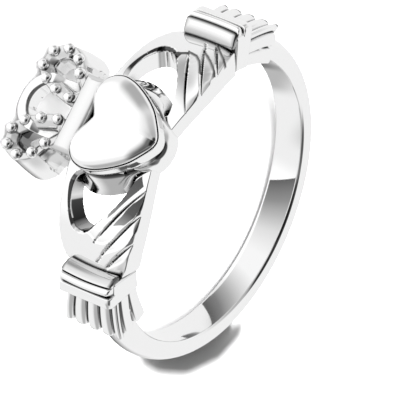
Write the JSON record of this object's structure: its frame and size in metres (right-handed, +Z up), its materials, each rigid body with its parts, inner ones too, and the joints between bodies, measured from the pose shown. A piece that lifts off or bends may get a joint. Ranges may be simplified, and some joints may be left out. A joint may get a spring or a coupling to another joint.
{
  "type": "claddagh ring",
  "caption": "Finger ring with two hands holding a crowned heart: pierced hands, pleated cuffs, domed heart and beaded crown on a plain rounded band, lying on its side.",
  "frame": {"origin": "centre of the finger hole, in the middle of the plain band's width", "axes": "+Z up from the surface that the ring lies on; the heart faces -Y and a little up; +X to the ring's right seen from the heart; the finger axis lies in the YZ plane, tilted by the rest angle from +Z towards +Y"},
  "size_m": [0.0202, 0.0216, 0.0104],
  "materials": {
    "silver": "mirror-polished sterling silver"
  },
  "bodies": {
    "root": {"ring": "silver"}
  },
  "joints": []
}
